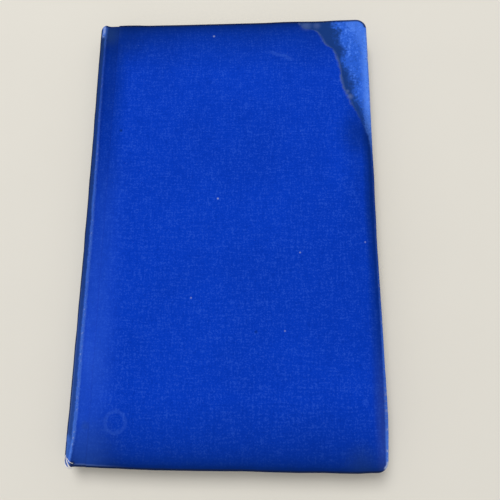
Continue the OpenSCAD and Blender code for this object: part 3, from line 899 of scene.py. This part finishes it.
def flecked_board(name, shades, plain, fleck_shade):
    """Pressed board or card with darker and paler flecks."""
    made = Finish(name, shades, plain, roughness=0.92)
    where = made.object_place()
    flecks = made.cloud(made.place((1, 2.5, 1), where), 0.9, 4, 0.75)
    made.paint(made.ramp(flecks, 0.5, 0.75) * 0.5, fleck_shade)
    made.paint(made.ramp(made.cloud(where, 12, 3), 0.4, 0.8) * 0.25, "leaf_toned")
    return made.done(made.bump(flecks, 0.05, 0.5), 0.86 + flecks * 0.1)


def gauze(name, shades, pitch, strength):
    """Open mull or twisted thread: a coarse plain weave, stiff with paste."""
    made = Finish(name, shades, name, roughness=0.85)
    where = made.object_place()
    height, top = weave(made, where, pitch)
    mottled = made.cloud(where, 3, 3)
    made.paint(made.ramp(height, 0.75, 0.2) * strength, "leaf_toned")
    made.paint(made.ramp(mottled, 0.45, 0.75) * 0.3, "leaf_toned")
    return made.done(made.bump(height + top * 0.2, 0.08, 0.8), 0.8 + mottled * 0.12)


def workshop(scene):
    """The book's shape, and its finishes by material slot, which are made only once."""
    shape, shades = BookShape(scene), scene.hardback_shades
    if not hasattr(workshop, "finishes"):
        workshop.finishes = {
            "book_cloth": BookCloth(shades, shape).material,
            "leaves": paper("leaves", shades, "leaf", "leaf_toned", strata=True),
            "endpaper": paper("endpaper", shades, "endpaper", "leaf"),
            "lining_paper": flecked_board("lining_paper", shades, "kraft", "card"),
            "greyboard": flecked_board("greyboard", shades, "board", "card"),
            "spine_card": flecked_board("spine_card", shades, "card", "kraft"),
            "mull": gauze("gauze", shades, 0.9, 0.6),
            "thread": gauze("linen", shades, 0.2, 0.4),
            "frayed": gauze("frayed", shades, 0.2, 0.4),
        }
    return shape, workshop.finishes


# ---- Pieces


def around(faces):
    """Faces with their edges and corners, as the cutting operator takes them."""
    return list({item for face in faces for item in (face, *face.edges, *face.verts)})


def cut(bm, faces, place, way):
    bmesh.ops.bisect_plane(bm, geom=around(faces), dist=FLAT, plane_co=place, plane_no=way)


def bevel(bm, geom, offset, segments, affect="EDGES"):
    return bmesh.ops.bevel(bm, geom=geom, offset=offset, offset_type="OFFSET", segments=segments, profile=0.5,
                           affect=affect, material=-1)


def rounded_plate(shape, inset, low_z, head_r, tail_r):
    """Block of a cover with its fore-edge corners and its arrises rounded and its hinge side sunk a little."""
    case, bm = shape.case, bmesh.new()
    near_x, far_x, half_y = shape.cover_x + inset, shape.fore_x - inset, shape.head_y - inset
    high_z = shape.out_z - inset
    for vert in bmesh.ops.create_grid(bm, x_segments=1, y_segments=1, size=1)["verts"]:
        vert.co = (near_x if vert.co.x < 0 else far_x, vert.co.y * half_y, low_z)
    for way, radius in ((1, head_r), (-1, tail_r)):
        corner = max(bm.verts, key=lambda vert: vert.co.x + way * vert.co.y)
        bevel(bm, [corner], radius - inset, CORNER_STEPS, "VERTICES")
    long_edges = [edge for edge in bm.edges
                  if edge.calc_length() > LONG_EDGE and max(vert.co.x for vert in edge.verts) > near_x + 1]
    bmesh.ops.subdivide_edges(bm, edges=long_edges, cuts=EDGE_CUTS)
    made = bmesh.ops.extrude_face_region(bm, geom=bm.faces[:])["geom"]
    bmesh.ops.translate(bm, vec=(0, 0, high_z - low_z), verts=corners_of(made))
    bmesh.ops.recalc_face_normals(bm, faces=bm.faces)
    for height, radius in ((high_z, case.outer_arris - inset), (low_z, case.inner_arris - inset)):
        rim = [edge for edge in bm.edges if all(abs(vert.co.z - height) < FLAT for vert in edge.verts)]
        bevel(bm, rim, radius, ARRIS_STEPS)
    for vert in bm.verts:
        upper = smooth_step(shape.in_z + case.inner_arris, shape.out_z - case.outer_arris, vert.co.z)
        vert.co.z -= case.settle * upper * smooth_step(*SETTLES, vert.co.x - shape.cover_x)
    return bm


def cover_cloth(shape, head_r, tail_r):
    """Cloth over one cover: outside, round the edges, and turned in with mitred corners."""
    case, lap_z = shape.case, shape.joint_z - shape.case.cloth
    bm = rounded_plate(shape, 0.0, shape.in_z, head_r, tail_r)

    def faces(*tests):
        """Faces whose middle passes every test."""
        return [face for face in bm.faces if all(test(face.calc_center_median()) for test in tests)]

    def inside(at):
        return abs(at.z - shape.in_z) < FLAT

    def hinge_side(at):
        return at.x < shape.cover_x + case.inner_arris and at.z < shape.out_z - case.outer_arris + 0.01

    def off_mitre(at):
        """Distance from the two lines on which the turned-in sides meet."""
        return abs((at.x - shape.window_x) - (abs(at.y) - shape.window_y))

    # Window of bare board inside, open to the joint, where mull and endpaper come through
    cut(bm, faces(inside), (shape.window_x, 0, 0), (1, 0, 0))
    for way in (-1, 1):
        cut(bm, [*faces(inside), *faces(hinge_side)], (0, way * shape.window_y, 0), (0, 1, 0))
        corner = faces(inside, lambda at: at.x > shape.window_x and way * at.y > shape.window_y)
        cut(bm, corner, (shape.window_x, way * shape.window_y, 0), (1, -way, 0))
    cut(bm, faces(hinge_side), (0, 0, lap_z), (0, 0, 1))
    window = faces(lambda at: abs(at.y) < shape.window_y and at.x < shape.window_x and at.z < lap_z,
                   lambda at: at.x < shape.cover_x + 1 or inside(at))
    bmesh.ops.delete(bm, geom=window, context="FACES")

    # Line pressed into the cloth where its turned-in sides meet
    mitres = [edge for edge in bm.edges if len(edge.link_faces) == 2 and edge.calc_length() > 2
              and all(inside(vert.co) for vert in edge.verts)
              and off_mitre((edge.verts[0].co + edge.verts[1].co) / 2) < 1e-3]
    for vert in bevel(bm, mitres, case.mitre / 2, MITRE_STEPS)["verts"]:
        if off_mitre(vert.co) < 0.02 and inside(vert.co):
            vert.co.z += case.cloth * MITRE_DEPTH
    bmesh.ops.solidify(bm, geom=bm.faces[:], thickness=case.cloth - FILM)
    bm.normal_update()

    threads = bm.loops.layers.uv.new("threads")
    for face in bm.faces:
        way = face.normal
        for loop in face.loops:
            place = loop.vert.co
            drop = shape.out_z - place.z
            if abs(way.z) > 0.7:
                loop[threads].uv = place.xy
            elif abs(way.x) > abs(way.y):
                loop[threads].uv = (place.x + drop, place.y)
            else:
                loop[threads].uv = (place.x, place.y + math.copysign(drop, place.y))
    return bm


def joint_cloth(shape):
    """Cloth across one joint, from the lip of the cover down the groove to the foot of the ridge."""
    pen = Pen(shape.lip_x + shape.lip_r * math.sin(math.radians(LIP_TURN)), shape.lip_z)
    pen.arc(shape.lip_x, shape.joint_z + shape.lip_r, LIP_TURN, 8)
    pen.line(shape.groove_x, shape.joint_z, 12)
    pen.arc(shape.groove_x, shape.groove_z, shape.groove_turn, 12)
    return turned_in_cloth(pen, shape, [2 * shape.case.cloth] * len(pen.bm.verts))


def spine_cloth(shape):
    """Cloth over the two ridges and the round of the spine, turned in over the card at the head and tail."""
    case, lean = shape.case, math.radians(shape.groove_turn)
    pen = Pen(shape.ridge_x + case.ridge_round * math.sin(lean),
              shape.ridge_z + case.ridge_round * math.cos(lean))
    pen.arc(shape.ridge_x, shape.ridge_z, -(shape.groove_turn + 90 - shape.spine_half), 12)
    pen.arc(shape.spine_x, 0, -2 * shape.spine_half, 34)
    pen.arc(shape.ridge_x, -shape.ridge_z, -(shape.groove_turn + 90 - shape.spine_half), 12)
    last = len(pen.bm.verts) - 1
    thin, thick = 2 * case.cloth, 2 * case.cloth + case.card
    depths = [thin + (thick - thin) * smooth_step(4, 14, min(place, last - place)) for place in range(last + 1)]
    return turned_in_cloth(pen, shape, depths, wander=0.16)


def spine_strip(shape):
    """Strip of card inside the round of the spine."""
    card_low, card_high = corners_in_mm("spine_inlay")
    radius = shape.spine_x - card_low.x - shape.case.card / 2
    half = math.radians(shape.spine_half)
    pen = Pen(shape.spine_x - radius * math.cos(half), radius * math.sin(half))
    pen.arc(shape.spine_x, 0, -2 * shape.spine_half, 30)
    return plain_sheet(pen, evenly(-card_high.y, card_high.y, CARD_ROWS),
                       shape.case.card - 2 * shape.leaves.paste)


def across_rows(shape, half):
    """Stations along the book, closer together where the pasted-down paper steps up or down."""
    steps = [side * (base + k * STEP) for side in (-1, 1) for base in (shape.mull_half, shape.window_y)
             for k in range(-3, 4)]
    rows = {round(y, 4) for y in steps + evenly(-half, half, PASTED_ROWS)}
    return sorted(y for y in rows if abs(y) < half + FLAT)


def pasted_sheet(shape):
    """Half of an endpaper pasted over the inside of a board."""
    edge = shape.cover_x + shape.case.cloth
    steps = [base + k * STEP for base in (edge + shape.leaves.flange, shape.window_x) for k in range(-4, 4)]
    places = sorted({round(x, 4) for x in steps + evenly(edge + PAPER_LAP, shape.leaf_x, 36)}, reverse=True)
    pen = Pen(places[0], 0)
    for x in places[1:]:
        pen.line(x, 0)
    return plain_sheet(pen, across_rows(shape, shape.leaf_y), shape.leaves.paper,
                       lambda co: shape.paper_level(co.x, co.y))


def free_sheet(shape):
    """The loose half: flat on the leaves, up the shoulder, and folded back under the joint."""
    leaves = shape.leaves
    radius = leaves.shoulder_round - leaves.paste - leaves.paper / 2
    pen = Pen(shape.leaf_x, shape.root_z - radius).line(shape.root_x, shape.root_z - radius, 24)
    rise = math.degrees(math.acos((shape.root_z - shape.hinge_paper_z + 0.12) / radius))
    pen.arc(shape.root_x, shape.root_z, rise, 12)
    pen.line(pen.tip.co.x - 0.05, shape.hinge_paper_z - 0.03)
    pen.line(pen.tip.co.x + 0.04, shape.hinge_paper_z)
    pen.line(shape.hinge_from, shape.hinge_paper_z)
    return plain_sheet(pen, evenly(-shape.leaf_y, shape.leaf_y, SHEET_ROWS), leaves.paper)


def hinge_paper(shape):
    """Strip of endpaper across one joint, down on to the inside of the board."""
    board_x = shape.cover_x + shape.case.cloth
    drop_from, drop_to, end_x = shape.cover_x - 0.9, board_x - 0.05, board_x + PAPER_LAP
    pen = Pen(end_x, 0).line(drop_to, 0, 2).line(drop_from, 0, 8).line(shape.hinge_from, 0, 12)

    def level(co):
        down = smooth_step(drop_from, drop_to, co.x)
        return shape.hinge_paper_z + (shape.paper_level(end_x, co.y) - shape.hinge_paper_z) * down

    return plain_sheet(pen, across_rows(shape, shape.leaf_y), shape.leaves.paper, level)


def hinge_mull(shape):
    """Strip of mull across one joint."""
    pen = Pen(shape.cover_x + shape.case.cloth - 0.02, shape.board_z - shape.leaves.mull / 2)
    pen.ease(shape.cover_x - 0.7, shape.mull_z, 8).line(shape.hinge_from, shape.mull_z, 12)
    return plain_sheet(pen, evenly(-shape.mull_half, shape.mull_half, SHEET_ROWS), shape.leaves.mull)


def back_mull(shape):
    """Mull over the round of the back, out to the start of both joints."""
    leaves = shape.leaves
    radius = shape.back_r + 2 * leaves.paste + leaves.paper + leaves.mull / 2
    bend_z = shape.mull_z - 0.16
    angle = math.asin(bend_z / radius)
    bend_x = shape.back_x - radius * math.cos(angle)
    pen = Pen(shape.hinge_from, shape.mull_z).line(bend_x + 0.3, shape.mull_z, 3)
    pen.line(bend_x + 0.1, shape.mull_z - 0.03).line(bend_x, bend_z)
    pen.arc(shape.back_x, 0, -2 * math.degrees(angle), 24)
    pen.line(bend_x + 0.1, 0.03 - shape.mull_z).line(bend_x + 0.3, -shape.mull_z)
    pen.line(shape.hinge_from, -shape.mull_z, 3)
    return plain_sheet(pen, evenly(-shape.mull_half, shape.mull_half, SHEET_ROWS), leaves.mull)


def leaf_block(shape, sections, sheets):
    """Folded sheets, nested in sections, fanned at the back and hollowed at the fore-edge."""
    leaves, whole, chance = shape.leaves, bmesh.new(), random.Random(LEAF_SEED)
    thickness = leaves.block / (2 * sheets * sections)
    hollow = leaves.fore_hollow
    fore_r = (shape.block_top**2 + hollow**2) / (2 * hollow)
    way_in = Vector((-1, 0, 0))

    def fore_edge(z):
        return shape.leaf_x - hollow + fore_r - math.sqrt(fore_r**2 - z**2) - chance.uniform(0, leaves.uneven)

    for section in range(sections):
        angle = shape.fold_span * (1 - 2 * section / (sections - 1))
        out, up = Vector((-math.cos(angle), 0, math.sin(angle))), Vector((math.sin(angle), 0, math.cos(angle)))
        fold = Vector((shape.back_x, 0, 0)) + out * shape.ring_r
        for nest in range(sheets):
            upper = shape.block_top - (2 * sheets * section + nest + 0.5) * thickness
            lower = shape.block_top - (2 * sheets * (section + 1) - nest - 0.5) * thickness
            reach = (leaves.fold_round - thickness / 2) * (sheets - nest - 0.5) / (sheets - 0.5)
            pen = Pen(fore_edge(upper), upper).line(shape.root_x, upper)
            pen.bend(way_in, out, fold + up * reach, 8).arc(fold.x, fold.z, -180, 8)
            pen.bend(-out, -way_in, Vector((shape.root_x, 0, lower)), 8).line(fore_edge(lower), lower)
            ends = [way * (shape.leaf_y - chance.uniform(0, leaves.uneven)) for way in (-1, 1)]
            mesh = to_mesh(plain_sheet(pen, ends, thickness * LEAF_SHARE), "leaf")
            whole.from_mesh(mesh)
            bpy.data.meshes.remove(mesh)
    return whole


def frayed_ends(shape, finish):
    """Threads of the cloth standing free at the tail of the spine."""
    chance = random.Random(FRAY_SEED)
    curve = bpy.data.curves.new("frayed_threads", "CURVE")
    curve.dimensions, curve.bevel_depth, curve.bevel_resolution = "3D", FRAYED_ROUND * MM, 2
    curve.use_fill_caps = True

    def surface(x):
        if x > shape.ridge_x - 0.5:
            return shape.ridge_z + math.sqrt(max(0.0, shape.case.ridge_round**2 - (x - shape.ridge_x) ** 2))
        return math.sqrt(max(0.0, shape.spine_r**2 - (x - shape.spine_x) ** 2))

    strands = (
        [(-70.1, -106.2), (-70.8, -107.4), (-70.8, -108.6), (-70.1, -109.8), (-68.9, -110.8), (-67.6, -111.4)],
        [(-69.9, -106.9), (-69.4, -108.1), (-68.6, -109.3), (-67.7, -110.4), (-66.9, -111.3)],
        [(-69.0, -107.3), (-68.0, -108.2), (-67.0, -108.9), (-66.2, -109.3)],
    )
    for strand, copies in zip(strands, (5, 4, 1)):
        points = [Vector((*point, 0)) for point in strand]
        for _ in range(copies):
            aside = Vector((chance.uniform(-0.26, 0.26), chance.uniform(-0.26, 0.26), 0)) * (copies > 1)
            lift = chance.uniform(0.02, 0.24)
            path = [a.lerp(b, k / 4) for a, b in zip(points, points[1:]) for k in range(4)] + [points[-1]]
            spline = curve.splines.new("POLY")
            spline.points.add(len(path) - 1)
            for number, (place, point) in enumerate(zip(spline.points, path)):
                spread = 0.35 + number / len(path)
                point = point + aside * spread + Vector((chance.uniform(-0.05, 0.05), 0, 0))
                over = max(0.0, -shape.head_y + 0.4 - point.y)
                point.z = shape.middle + surface(point.x) + lift - over * 0.9
                place.co, place.radius = (*(point * MM), 1), chance.uniform(0.7, 1.1)
    source = bpy.data.objects.new("frayed_curve", curve)
    mesh = bpy.data.meshes.new_from_object(source)
    bpy.data.objects.remove(source)
    mesh.materials.clear()
    mesh.materials.append(finish)
    mesh.shade_smooth()
    piece = add_object("frayed_threads", mesh)
    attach(piece, BLOCK)


# ---- Operators


class HARDBACK_OT_covers(bpy.types.Operator):
    """Lay cloth over both boards"""

    bl_idname = "hardback.covers"
    bl_label = "Boards and cloth of the covers"

    def execute(self, context):
        shape, made = workshop(context.scene)
        case = shape.case
        corners = {"front": (case.head_corner, case.tail_corner), "back": (case.back_corner, case.back_corner)}
        for name, side in SIDES:
            for drawn, piece, slot, node in (
                    (cover_cloth(shape, *corners[name]), "cover_cloth", "book_cloth", "cloth"),
                    (rounded_plate(shape, case.cloth, shape.board_z, *corners[name]), "greyboard", "greyboard",
                     "board")):
                finish_piece(drawn, f"{name}_{piece}", shape, made, f"{name}_cover", slot, side,
                             [f"{name}_{node}"], [out_of_true])
        return {"FINISHED"}


class HARDBACK_OT_spine(bpy.types.Operator):
    """Lay cloth over the spine and across both joints"""

    bl_idname = "hardback.spine"
    bl_label = "Cloth on the spine and joints"

    def execute(self, context):
        shape, made = workshop(context.scene)
        wear = [wear_caps, out_of_true]
        finish_piece(spine_cloth(shape), "spine_cloth_shell", shape, made, BLOCK, "book_cloth",
                     replaces=["spine_cloth"], wear=wear)
        finish_piece(spine_strip(shape), "spine_strip", shape, made, BLOCK, "spine_card",
                     replaces=["spine_inlay"], wear=wear)
        for name, side in SIDES:
            piece = finish_piece(joint_cloth(shape), f"{name}_joint_cloth", shape, made, None, "book_cloth",
                                 side, wear=[out_of_true])
            bend_with_cover(piece, shape)
        return {"FINISHED"}


class HARDBACK_OT_leaves(bpy.types.Operator):
    """Fold and gather the leaves"""

    bl_idname = "hardback.leaves"
    bl_label = "Leaves"

    def execute(self, context):
        shape, made = workshop(context.scene)
        leaves = context.scene.hardback_leaves
        finish_piece(leaf_block(shape, leaves.sections, leaves.sheets), "leaf_block", shape, made, BLOCK, "leaves",
                     replaces=["pages"])
        return {"FINISHED"}


class HARDBACK_OT_endpapers(bpy.types.Operator):
    """Lay the endpapers and the mull"""

    bl_idname = "hardback.endpapers"
    bl_label = "Endpapers and mull"

    def execute(self, context):
        shape, made = workshop(context.scene)
        finish_piece(back_mull(shape), "back_mull", shape, made, BLOCK, "mull", replaces=["mull"])
        for name, side in SIDES:
            cover = f"{name}_cover"
            for draw, label, body, node in ((pasted_sheet, "pasted_sheet", cover, "pastedown"),
                                            (free_sheet, "free_sheet", BLOCK, "flyleaf")):
                finish_piece(draw(shape), f"{name}_{label}", shape, made, body, "endpaper", side,
                             [f"{name}_{node}"])
            for layer, draw, label, slot in ((1, hinge_mull, "hinge_mull", "mull"),
                                             (2, hinge_paper, "hinge_paper", "endpaper")):
                piece = finish_piece(draw(shape), f"{name}_{label}", shape, made, None, slot, side)
                bend_with_cover(piece, shape, layer)
        return {"FINISHED"}


class HARDBACK_OT_inner_parts(bpy.types.Operator):
    """Give the lining, the thread and the mull's flanges their finishes"""

    bl_idname = "hardback.inner_parts"
    bl_label = "Lining, thread and mull flanges"

    def execute(self, context):
        _, made = workshop(context.scene)
        slots = {part["node"]: part["material_slot"] for part in frame["record"]["subparts"]}
        for name, node in frame["nodes"].items():
            node.data.materials.clear()
            node.data.materials.append(made[slots[name]])
        return {"FINISHED"}


class HARDBACK_OT_fraying(bpy.types.Operator):
    """Fray the cloth at the tail of the spine"""

    bl_idname = "hardback.fraying"
    bl_label = "Frayed threads"

    def execute(self, context):
        shape, made = workshop(context.scene)
        frayed_ends(shape, made["frayed"])
        return {"FINISHED"}


class HARDBACK_OT_studio(bpy.types.Operator):
    """Set up the floor, the light and the camera"""

    bl_idname = "hardback.studio"
    bl_label = "Studio"

    def execute(self, context):
        scene, studio, shades = context.scene, context.scene.hardback_studio, context.scene.hardback_shades
        ground, bm = Finish("floor", shades, "floor", roughness=0.95), bmesh.new()
        ground.paint(ground.cloud(ground.object_place(), 60.0, 3.0) * 0.06, "board")
        bmesh.ops.create_grid(bm, x_segments=8, y_segments=8, size=FLOOR_HALF)
        add_object("floor", to_mesh(bm, "floor", ground.done()))

        world = bpy.data.worlds.new("studio")
        scene.world = world
        world.use_nodes = True
        tree = world.node_tree
        tree.nodes.clear()
        out, switch, rays, light, seen = (tree.nodes.new("ShaderNode" + kind) for kind in (
            "OutputWorld", "MixShader", "LightPath", "Background", "Background"))
        for background, shade, strength in ((light, (1, 1, 1), studio.sky), (seen, shades.floor, 1.0)):
            background.inputs["Color"].default_value = (*shade, 1)
            background.inputs["Strength"].default_value = strength
        sources = (rays.outputs["Is Camera Ray"], light.outputs[0], seen.outputs[0])
        for source, socket in zip((*sources, switch.outputs[0]), (*switch.inputs, out.inputs[0])):
            tree.links.new(source, socket)

        lamp = bpy.data.lights.new("window", "AREA")
        lamp.shape, lamp.size, lamp.energy = "SQUARE", studio.window_size, studio.window
        window = add_object("window", lamp)
        window.location = studio.window_place
        window.rotation_euler = (-window.location).to_track_quat("-Z", "Y").to_euler()

        view = bpy.data.cameras.new("camera")
        view.lens, view.clip_start, view.clip_end = studio.lens, 0.01, 20.0
        scene.camera = add_object("camera", view)
        scene.camera.location = studio.camera_place
        scene.camera.rotation_euler = Euler(studio.camera_turn)
        scene.view_settings.view_transform = "Standard"
        return {"FINISHED"}


OPERATORS = (HARDBACK_OT_studio, HARDBACK_OT_inner_parts, HARDBACK_OT_covers, HARDBACK_OT_spine,
             HARDBACK_OT_leaves, HARDBACK_OT_endpapers, HARDBACK_OT_fraying)


class HARDBACK_PT_book(bpy.types.Panel):
    """Sizes, shades and steps of the hardback"""

    bl_label = "Clothbound hardback"
    bl_idname = "HARDBACK_PT_book"
    bl_space_type = "VIEW_3D"
    bl_region_type = "UI"
    bl_category = "Hardback"

    def draw(self, context):
        for step in OPERATORS:
            self.layout.operator(step.bl_idname)
        for pointer, group in GROUPS.items():
            box = self.layout.box()
            box.label(text=group.__doc__)
            for name in group.__annotations__:
                box.prop(getattr(context.scene, pointer), name)


GROUPS = {"hardback_case": HardbackCase, "hardback_leaves": HardbackLeaves, "hardback_shades": HardbackShades,
          "hardback_studio": HardbackStudio}
CLASSES = (*GROUPS.values(), *OPERATORS, HARDBACK_PT_book)


def register():
    for item in CLASSES:
        bpy.utils.register_class(item)
    for pointer, group in GROUPS.items():
        setattr(bpy.types.Scene, pointer, PointerProperty(type=group))


def unregister():
    for pointer in GROUPS:
        delattr(bpy.types.Scene, pointer)
    for item in reversed(CLASSES):
        bpy.utils.unregister_class(item)


def main():
    register()
    for step in OPERATORS:
        getattr(bpy.ops.hardback, step.bl_idname.split(".")[1])()


if __name__ == "__main__":
    main()
